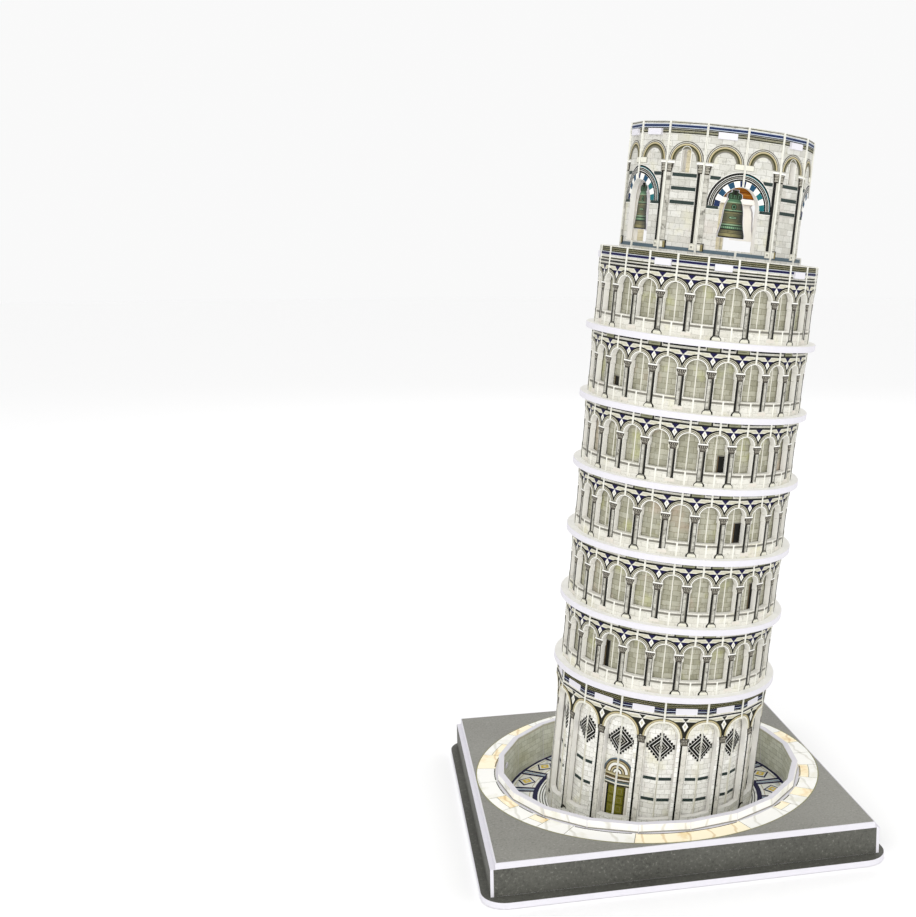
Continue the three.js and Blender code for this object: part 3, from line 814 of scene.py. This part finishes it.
# halves of a paired column, with x measured from the fold: blocks, capital, and the capital's carving
LEFT_HALF = (
    [(-2.0, -1.0, SHAFT_LOW, SHAFT_TOP, "black", 4), (-1.0, -0.3, SHAFT_LOW, SHAFT_TOP, "speckled_stone", 4),
     (-2.7, -0.3, 227.4, 228.0, "white", 5), (-2.35, -0.3, BASE_LOW, SHAFT_LOW, "speckled_stone", 5),
     (-2.15, -0.5, 199.2, 200.9, "cream", 6), (-1.8, -1.1, 199.7, 200.4, "grey", 7)],
    [(-2.1, 224.4), (-0.35, 224.4), (-0.35, 227.4), (-2.5, 227.4), (-2.3, 226.2)],
    (-2.0, -0.5, (224.9, 225.8, 226.9), (-1.7, -1.25, -0.8), ((225.2, 225.65), (226.15, 226.7))))
RIGHT_HALF = (
    [(0.35, 1.9, SHAFT_LOW, 224.4, "shaft", 4), (1.9, 2.05, SHAFT_LOW, 224.4, "grey", 4),
     (0.3, 2.9, 227.3, 227.95, "white", 5), (0.4, 2.7, BASE_LOW, 201.6, "soft_black", 5),
     (0.4, 2.3, BASE_LOW, SHAFT_LOW, "speckled_stone", 6), (1.5, 2.3, BASE_LOW, 201.2, "tan_dark", 7),
     (0.5, 1.5, 199.3, 200.9, "cream", 7)],
    [(0.35, 224.3), (1.9, 224.3), (2.3, 226.1), (2.6, 227.3), (0.35, 227.3)],
    (0.5, 1.9, (224.8, 225.7, 226.8), (0.6, 1.05, 1.5), ((225.1, 225.55), (226.05, 226.6))))
BLIND_R, BLIND_SPRING = 6.35, 228.45
# the blind arch's mouldings, measured inwards from its radius
BLIND_ARCH = between((0, 0.25, 0.55, 0.78, 1.18, 1.4, 1.82, 2.2, 2.6),
                     ("capital", "speckled_stone", "capital", "tan", "tan_dark", "olive", "arch_shadow",
                      "sill"))
RINGS_END, COURSES = 11.9, (214.0, 218.6, 223.1)
VOUSSOIRS = 6.5                                          # wedges in a quarter of a big arch


def belfry_board(piece, radius, thickness, high, extra, face, kind, phi, shift):
    outer, w = facet(radius, B_N)
    k = (outer - thickness) / outer
    m = wall_matrix(phi, outer)
    r = ARCH_R + extra
    if kind == SLIT:
        half = SLIT_W / 2
        curve = arc(0, SLIT_TOP - half, half, 90, 0, 10)
        right = rect(0, w, B_LOW, high) + curve + [(half, SLIT_LOW), (0, SLIT_LOW)]
        outlines = [right, mirror(right)]
    else:
        curve = arc(w, ARCH_H, r, 180, 90, 20)
        outline = [(-w, B_LOW), (w, B_LOW), (w, ARCH_SILL), (w - r, ARCH_SILL)] + curve
        outline += [(w, high), (-w, high)]
        outlines = [mirror(outline) if kind == ARCH_LEFT else outline]
    for outline in map(anticlockwise, outlines):
        inner = [(x * k, y) for x, y in outline]
        piece.plate(m, outline, -thickness, 0, face, "edge", "belfry_inside", inner, (-w, 0.0, w), shift,
                    order=False)


def belfry_column(stamp, fold, half):
    """Half of a paired column against one fold of the facet, from LEFT_HALF or RIGHT_HALF."""
    parts, capital, (x0, x1, lines, leaves, rows) = half
    blocks(stamp, fold, parts)
    stamp([(fold + x, y) for x, y in capital], "capital", 5)
    capital_carving(stamp, fold + x0, fold + x1, lines, 0.26, "capital_light",
                    [fold + x for x in leaves], 0.2, rows, 6)


def belfry_arch(stamp, flip):
    """Half of a big arch centred on the facet's right fold, or its left one when flipped."""
    w = B_W
    outer_line = "teal" if flip else "black"

    def put(outline, key, layer):
        stamp(mirror(outline) if flip else outline, key, layer)
    for inner, outer, key in between((7.03, 9.1, 9.7, 9.86, 10.26, 10.4, 10.82, 10.98, 11.25, 11.75, 11.92),
                                     ("white", "black", "white", "black", "speckled_stone", "black", "white",
                                      outer_line, "black", "white")):
        end_out, end_in = (90 + math.degrees(math.asin(CREASE / r)) for r in (outer, inner))
        put(arc(w, ARCH_H, outer, 180, end_out, 24) + arc(w, ARCH_H, inner, end_in, 180, 24), key, 2)
    step = 90 / VOUSSOIRS
    for v in range(0, math.ceil(VOUSSOIRS), 2):
        a0 = 180 - v * step
        a1 = max(a0 - step, 90 + 2.0)
        colour = "teal" if flip and v < 4 else ("blue" if v in (2, 4) else "blue_dark")
        put(arc(w, ARCH_H, 9.05, a0, a1, 4) + arc(w, ARCH_H, 7.15, a1, a0, 4), colour, 3)
    near = -CREASE - 0.05
    blocks(put, w, [(-12.1, -7.5, ARCH_H - 0.95, ARCH_H - 0.05, "slate", 3),
                    (-11.9, -7.4, ARCH_H - 1.25, ARCH_H - 1.05, "white", 3),
                    (-3.5, near, 227.0, 228.95, "grey", 3), (-3.3, near, 227.15, 228.8, "cream", 4)])


def belfry_facet(stamp, kind):
    w = B_W
    edge = w - 0.33
    stamp(rect(-edge, edge, 198.5, 199.7), "slate_blue", 1)
    stripes(stamp, -edge, edge, B_CORNICE)
    for side, arched in ((-1, kind == ARCH_LEFT), (1, kind == ARCH_RIGHT)):
        x0, x1 = sorted((side * (w - 0.22), side * w))
        if arched:
            stamp(rect(x0, x1, 197.0, ARCH_SILL - 0.05), "crease", 8)
            stamp(rect(x0, x1, ARCH_H + ARCH_R + 0.05, B_TOP - 0.05), "crease", 8)
        else:
            stamp(rect(x0, x1, 196.0, B_TOP - 0.05), "crease", 8)
    # blind arch with a printed shadow inside
    for near, far, key in BLIND_ARCH:
        stamp(band(0, BLIND_SPRING, BLIND_R - far, BLIND_R - near, 0, 180, 24), key, 2)
    # dark courses, stopped at the columns and at the big arch
    for y in COURSES:
        reach = math.sqrt(max(0.0, RINGS_END ** 2 - max(0.0, y + 0.5 - ARCH_H) ** 2))
        x0 = -w + (reach if kind == ARCH_LEFT else 2.4)
        x1 = w - (reach if kind == ARCH_RIGHT else 2.3)
        if x1 - x0 > 0.4:
            stamp(rect(x0, x1, y, y + COURSE), "slate", 1)
    if kind != SLIT:
        belfry_arch(stamp, kind == ARCH_LEFT)
    if kind != ARCH_LEFT:
        belfry_column(stamp, -w, RIGHT_HALF)
    if kind != ARCH_RIGHT:
        belfry_column(stamp, w, LEFT_HALF)
    if kind == SLIT:
        half = SLIT_W / 2
        inner, outer, spring = half + 0.02, half + 0.18, SLIT_TOP - half
        stamp(band(0, spring, inner, outer, 0, 180, 12), "white", 3)
        two_sided(stamp, rect(inner, outer, SLIT_LOW + 0.1, spring), "white", 3)


outer_board, outer_print = board_and_print("belfry_outer")
inner_board = Piece("belfry_inner_board", weld=True)
for j in range(B_N):
    phi, kind = B_PHASE + B_STEP * (j + 0.5), j % 3
    belfry_board(outer_board, B_R, BOARD, B_TOP, 0.0, "belfry_wall", kind, phi, B_SHEET * j)
    belfry_board(inner_board, B_IN_R, B_IN_T, B_IN_TOP, 0.5, "belfry_inside", kind, phi, B_IN_SHEET * j)
    belfry_facet(outer_print.stamper(wall_matrix(phi, B_OUT), B_SHEET * j), kind)
build_pair(outer_board, outer_print, "arcade_print", "belfry_outer_wall", "belfry_shell")
inner_board.build("model", "stone_print", ("belfry_inner_wall",))


# ---- bells and their timber frames ---------------------------------------------------------------
BELL = [(4.75, 204.4), (4.75, 205.6), (4.2, 207.6), (3.8, 210.0), (3.6, 213.0), (3.2, 215.4), (2.6, 216.8),
        (2.2, 217.3), (2.7, 218.0), (2.6, 219.2), (1.3, 219.9), (1.3, 220.7)]
BELL_TURN, BELL_FACE, BELL_T, BEAM_FACE, BEAM_T = -2.6, 29.5, 1.6, 26.4, 1.5
BEAM_R, BEAM_LOW, BELL_MARGIN, BEAM_MARGIN = 9.2, 218.0, 0.18, 0.1
WAIST_LOW, WAIST_HIGH, WAIST_DIP = 206, 217, 0.1         # the bell's sides are slightly hollow here
BELL_BANDS = between((204.5, 204.95, 205.9, 207.2, 207.5, 208.4, 208.7, 209.1, 213.3, 213.6, 213.9, 216.3,
                      216.6, 217.5, 219.7),
                     ("black", "bell_gold", "bell_brown", "black", "bell_green", "black", "bell_light",
                      "bell_body", "black", "bell_light", "bell_body", "bell_light", "bell_green",
                      "bell_dark"))
# ovals on the bell: half width, half height, centre height, ink, layer
OVALS = [(0.95, 1.05, 214.9, "black", 2), (0.75, 0.85, 214.9, "bell_green", 3),
         (0.4, 0.5, 214.9, "bell_dark", 4), (1.5, 0.5, 211.3, "black", 2),
         (1.3, 0.32, 211.3, "bell_light", 3),
         (0.7, 0.15, 211.3, "bell_dark", 4)]
# grain of a beam: foot, half length, height, ink
GRAIN = [(218.15, 8.0, 0.22, "timber_dark"), (219.3, 7.2, 0.3, "timber_light"),
         (220.1, 6.6, 0.25, "timber_dark"), (221.3, 5.4, 0.3, "timber_light"),
         (222.2, 4.0, 0.25, "timber_dark")]


def bell_width(y):
    for (w0, y0), (w1, y1) in zip(BELL, BELL[1:]):
        if y0 <= y <= y1:
            return w0 + (w1 - w0) * (y - y0) / (y1 - y0)
    return BELL[0][0]


def bell_band(low, high, inset, steps=5):
    ys = [low + (high - low) * i / steps for i in range(steps + 1)]
    return symmetric([(bell_width(y) - inset, y) for y in ys])


def oval(cx, cy, rx, ry, steps):
    return [(cx + rx * x, cy + ry * y) for x, y in arc(0, 0, 1, 0, 360 - 360 / steps, steps - 1)]


def bell(number, fold):
    board, prints = board_and_print(f"bell_{number}")
    m = wall_matrix(fold + BELL_TURN, BELL_FACE)
    outline = []
    for (w0, y0), (w1, y1) in zip(BELL, BELL[1:]):
        dip = WAIST_DIP if WAIST_LOW < y0 < WAIST_HIGH else 0
        outline += [(w0, y0), ((w0 + w1) / 2 - dip, (y0 + y1) / 2)]
    board.plate(m, symmetric(outline + [BELL[-1]]), -BELL_T, 0, "foam", "foam", "card_back")
    stamp = prints.stamper(m)
    for low, high, key in BELL_BANDS:
        stamp(bell_band(low, high, BELL_MARGIN), key, 1)
    for rx, ry, y, key, layer in OVALS:
        stamp(oval(0, y, rx, ry, 24), key, layer)
    for i in range(-5, 6):
        stamp(oval(i * 0.7, 207.95, 0.26, 0.28, 12), "bell_light", 2)
    for y in (206.3, 206.75, 209.6, 212.8):
        stamp(bell_band(y, y + 0.14, 0.5, 2), "bell_gold", 2)
    # loops of the crown
    for x in (-1.5, 0.0, 1.5):
        stamp([(x - 0.55, 217.75), (x + 0.55, 217.75), (x + 0.3, 219.1), (x - 0.3, 219.1)], "bell_green", 2)
        stamp(rect(x - 0.14, x + 0.14, 217.8, 218.8), "black", 3)
    stamp(rect(-1.1, 1.1, 219.7, 220.55), "bell_dark", 1)
    stamp(rect(-0.4, 0.4, 218.9, 220.5), "black", 4)
    build_pair(board, prints, "bell_print", f"bell_{number}")


def bell_beam(number, fold):
    board, prints = board_and_print(f"bell_beam_{number}")
    m = wall_matrix(fold, BEAM_FACE)

    def segment(margin):
        r = BEAM_R - margin
        spread = math.degrees(math.acos((BEAM_LOW + margin - ARCH_H) / r))
        return arc(0, ARCH_H, r, 90 - spread, 90 + spread, 24)
    board.plate(m, segment(0.0), -BEAM_T, 0, "foam", "foam", "card_back")
    stamp = prints.stamper(m)
    stamp(segment(BEAM_MARGIN), "timber", 1)
    for y, half, height, key in GRAIN:
        stamp(rect(-half, half, y, y + height), key, 2)
    build_pair(board, prints, "timber_print", f"bell_beam_{number}")


for number in range(1, BAYS + 1):
    fold = B_PHASE + 360 / BAYS * (number - 1)
    bell(number, fold)
    bell_beam(number, fold)


# ---- base ----------------------------------------------------------------------------------------
for name in ("base_bottom_plate", "base_front_panel", "base_back_panel", "base_left_panel",
             "base_right_panel", "base_top_plate", "well_wall", "ground_ceiling", "belfry_floor",
             "belfry_ceiling"):
    for material_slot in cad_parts[name].material_slots:
        material_slot.material = MATERIALS["foam"]

LEDGE_M = Matrix.Translation(Vector((0, 0, PLATE_T)))
DECK_M = Matrix.Translation(Vector((0, 0, DECK_TOP)))
LEDGE_MARGIN, LEDGE_GAP, PANEL_MARGIN, DECK_MARGIN = 0.12, 0.05, 0.1, 0.4


def base_sides():
    """The dark ledge of the bottom plate, with rounded corners, and the speckled panels on it."""
    prints = Print("base_print")
    corner = PLATE / 2 - PLATE_CORNER
    radius = PLATE_CORNER - LEDGE_MARGIN
    reach, in_x, in_y = corner + radius, SIDE_X + LEDGE_GAP, END_Y + LEDGE_GAP
    for k, (sx, sy) in enumerate(((1, -1), (1, 1), (-1, 1), (-1, -1))):
        turn = arc(sx * corner, sy * corner, radius, 90 * (k - 1), 90 * k, 10)
        on_y, on_x = [(0, sy * reach), (0, sy * in_y)], [(sx * reach, 0), (sx * in_x, 0)]
        before, after = (on_x, on_y) if k % 2 else (on_y, on_x)
        prints.stamp(LEDGE_M, before[:1] + turn + after + [(sx * in_x, sy * in_y), before[1]], "base_side")
    for phi, distance, half in ((-90, END_Y, SIDE_X - 1.0), (90, END_Y, SIDE_X - 1.0), (0, SIDE_X, END_Y),
                                (180, SIDE_X, END_Y)):
        half -= PANEL_MARGIN
        panel = rect(-half, half, PLATE_T + PANEL_MARGIN, BOX_TOP - PANEL_MARGIN)
        prints.stamp(base_matrix(phi, distance), panel, "base_side")
    prints.build("model", "grey_print")


base_sides()

# marble pavement round the well: joints at uneven angles, and the slabs that differ from plain white
SLAB_IN, SLAB_MIDDLE, SLAB_OUT, JOINT_GAP, JOINT_HALF = 59.0, 62.7, 66.0, 0.13, 0.12
JOINTS = [-178, -165, -155, -145.5, -139, -129, -107, -70, -53, -47, -40, -33.5, -24, -13, -2, 8, 19, 29, 40,
          52, 63, 72, 84, 95, 104, 116, 127, 138, 147, 158, 170, 182]
CREAM_SLABS = {6, 10, 15, 19, 22, 26, 29}
TWO_ROWS = {1, 3, 8, 12, 17, 21, 24, 28}


def deck():
    prints = Print("deck_print")
    stamp = prints.stamper(DECK_M)
    half = DECK / 2 - DECK_MARGIN
    for a in range(0, 360, 90):
        (x0, y0), (x1, y1) = arc(0, 0, half, a, a + 90, 1)
        stamp([(x0, y0), (x0 + x1, y0 + y1), (x1, y1)] + arc(0, 0, SLAB_OUT + 0.25, a + 90, a, 24), "deck")
    for k, (a0, a1) in enumerate(zip(JOINTS, JOINTS[1:])):
        steps = max(3, int((a1 - a0) / 2.5))
        rows = [(SLAB_IN, SLAB_OUT, "slab_cream" if k in CREAM_SLABS else "slab_white")]
        if k in TWO_ROWS:
            rows = [(SLAB_IN, SLAB_MIDDLE - JOINT_HALF, "slab_cream"),
                    (SLAB_MIDDLE + JOINT_HALF, SLAB_OUT, "slab_white")]
        for inner, outer, key in rows:
            stamp(band(0, 0, inner, outer, a0 + JOINT_GAP, a1 - JOINT_GAP, steps), key, 2)
        stamp(band(0, 0, SLAB_IN - 0.1, SLAB_OUT + 0.05, a0, a1, steps), "joint", 1)
        stamp(band(0, 0, SLAB_OUT + 0.05, SLAB_OUT + 0.35, a0, a1, steps), "edge_olive", 2)
        # painted shade: a broken dark line along the inner edge of the slabs, for the shaded gap between the
        # well wall and the plate
        if k % 3 != 1:
            stamp(band(0, 0, SLAB_IN + 0.15, SLAB_IN + 0.45, a0 + 0.6, a1 - 1.2, steps), "soft_black", 3)
    prints.build("model", "marble_print")


# small tab on the wall of the sunken court
TAB_ANGLE = 163.8
TAB = [(-1.5, 12.0), (1.5, 12.0), (2.0, 12.5), (1.7, 13.3), (-1.7, 13.3), (-2.0, 12.5)]


def court_wall():
    prints = Print("well_print")
    outer, w = facet(WELL_R, WELL_N)
    inner = outer - WELL_T
    w_in = w * inner / outer
    for i in range(WELL_N):
        phi = WELL_PHASE + WELL_STEP * (i + 0.5)
        inside = base_matrix(phi, inner, inward=True)
        prints.stamp(inside, rect(-w_in + 0.14, w_in - 0.14, PLATE_T + 0.1, WELL_TOP - 0.12), "court_wall", 1,
                     WELL_SHEET * i)
        stripe = rect(-w_in + 0.2, w_in - 0.2, WELL_TOP - 0.9, WELL_TOP - 0.35)
        prints.stamp(inside, stripe, "cream_dark", 2)
        outside, edge, low = base_matrix(phi, outer), w - 0.15, DECK_TOP + 0.15
        prints.stamp(outside, rect(-edge, edge, low, WELL_TOP - 0.1), "slab_white", 1)
        # painted shade: a darker strip in the joint colour along the foot of the outer face, for the shaded
        # gap where the wall meets the deck
        prints.stamp(outside, rect(-edge, edge, low, DECK_TOP + 0.5), "joint", 2)
    prints.stamp(base_matrix(TAB_ANGLE, inner, inward=True), TAB, "foam", 8)
    prints.build("model", "stone_print")


# mosaic floor of the court: rings, then a spoke and a diamond for each facet of the wall
MOSAIC_R, MOSAIC_PHASE = 55.9, 162.2
MOSAIC_RINGS = [(54.6, 55.7, "navy"), (43.0, 44.9, "navy"), (41.9, 42.25, "soft_black"),
                (40.9, 41.25, "soft_black"), (39.9, 40.25, "soft_black"), (39.0, 39.3, "grey")]
SPOKE_IN, SPOKE_OUT, SPOKE_HALF, SPOKE_TURN = 44.7, 54.7, 0.55, 1.7
DIAMOND_R, DIAMOND_LONG, DIAMOND_WIDE = 49.7, 3.7, 4.1
NESTED = [(1.0, "navy"), (0.78, "white"), (0.56, "yellow"), (0.2, "cream")]


def mosaic():
    prints = Print("mosaic_print")
    stamp = prints.stamper(LEDGE_M)
    stamp(oval(0, 0, MOSAIC_R, MOSAIC_R, 96), "mosaic_pale", 1)
    for inner, outer, key in MOSAIC_RINGS:
        for a in range(0, 360, 90):
            stamp(band(0, 0, inner, outer, a, a + 90, 24), key, 2)

    def radial(angle, points):
        """Points given as (distance from the centre, distance across) on a ray at an angle."""
        c, s = math.cos(math.radians(angle)), math.sin(math.radians(angle))
        return [(r * c - t * s, r * s + t * c) for r, t in points]
    for k in range(WELL_N):
        middle = MOSAIC_PHASE + WELL_STEP * k
        for side in (-1, 1):
            spoke = rect(SPOKE_IN, SPOKE_OUT, -SPOKE_HALF, SPOKE_HALF)
            stamp(radial(middle + side * SPOKE_TURN, spoke), "navy", 3)
        stamp(band(0, 0, 44.9, 54.5, middle - 0.45, middle + 0.45, 3), "light_blue", 2)
        for layer, (scale, key) in enumerate(NESTED, 3):
            long, wide = DIAMOND_LONG * scale, DIAMOND_WIDE * scale
            tips = [(DIAMOND_R + long, 0), (DIAMOND_R, wide), (DIAMOND_R - long, 0), (DIAMOND_R, -wide)]
            stamp(radial(middle - WELL_STEP / 2, tips), key, layer)
        stamp(band(0, 0, 46.0, 46.25, middle - 15.3, middle - 2.8, 5), "tan", 2)
        stamp(band(0, 0, 53.4, 53.65, middle - 15.6, middle - 2.5, 5), "tan", 2)
    prints.build("model", "grey_print")


deck()
court_wall()
mosaic()


# ---- floor, lights and camera, metres ------------------------------------------------------------
FLOOR_R, FLOOR_DROP = 6, 0.0002
MIDDLE, BASE_AIM = (0.0, 0.0, 0.12), (0.0, 0.0, 0.05)
WHITE, WARM, COOL = (1.0, 1.0, 1.0), (1.0, 0.995, 0.985), (0.97, 0.98, 1.0)
# area lights: place, aim, size, power and colour
AREA_LIGHTS = {
    "key_light": ((-0.55, -0.95, 0.70), MIDDLE, 0.7, 3.2, WARM),
    "low_light": ((-0.15, -0.95, 0.16), BASE_AIM, 0.35, 1.4, WHITE),
    "fill_light": ((0.95, -0.55, 0.45), MIDDLE, 0.8, 1.2, COOL),
    "back_light": ((0.25, 0.95, 0.85), MIDDLE, 0.8, 1.6, WHITE),
}
LAMP_HEIGHT, LAMP_POWER, LAMP_SIZE = 222.0, 0.017, 0.012    # lamp inside the belfry
SKY_STRENGTH = 0.95
CAMERA_PLACE, CAMERA_AIM = (-0.10562, -0.45150, 0.21057), (0.00110, 0.0, 0.13535)
SENSOR, LENS, SHIFT_X, CLIP_START, CLIP_END = 36.0, 49.12, -0.2094, 0.01, 20.0


def add_object(name, data, place=(0.0, 0.0, 0.0), aim=None):
    obj = bpy.data.objects.new(name, data)
    obj.location = place
    if aim:
        obj.rotation_euler = (Vector(aim) - Vector(place)).to_track_quat("-Z", "Y").to_euler()
    bpy.context.collection.objects.link(obj)
    return obj


scene = bpy.context.scene
scene.view_settings.view_transform = "Standard"

floor_mesh = bpy.data.meshes.new("studio_floor")
floor_edge = [(x, y, -FLOOR_DROP) for x, y in oval(0, 0, FLOOR_R, FLOOR_R, 72)]
floor_mesh.from_pydata(floor_edge, [], [range(len(floor_edge))])
floor_mesh.materials.append(ink("studio_paper", "fefefe", 0.003, 0.95))
add_object("studio_floor", floor_mesh)

for name, (place, aim, size, power, colour) in AREA_LIGHTS.items():
    light = bpy.data.lights.new(name, "AREA")
    light.shape, light.size, light.energy, light.color = "SQUARE", size, power, colour
    add_object(name, light, place, aim)
lamp = bpy.data.lights.new("belfry_inside_light", "POINT")
lamp.energy, lamp.shadow_soft_size = LAMP_POWER, LAMP_SIZE
add_object("belfry_inside_light", lamp, (FOOT + AXIS * LAMP_HEIGHT) * MM).visible_camera = False

world = bpy.data.worlds.new("studio")
world.use_nodes = True
background = world.node_tree.nodes["Background"]
background.inputs["Color"].default_value = WHITE + (1.0,)
background.inputs["Strength"].default_value = SKY_STRENGTH
scene.world = world

camera_data = bpy.data.cameras.new("camera")
camera_data.sensor_width, camera_data.lens, camera_data.shift_x = SENSOR, LENS, SHIFT_X
camera_data.clip_start, camera_data.clip_end = CLIP_START, CLIP_END
scene.camera = add_object("camera", camera_data, CAMERA_PLACE, CAMERA_AIM)
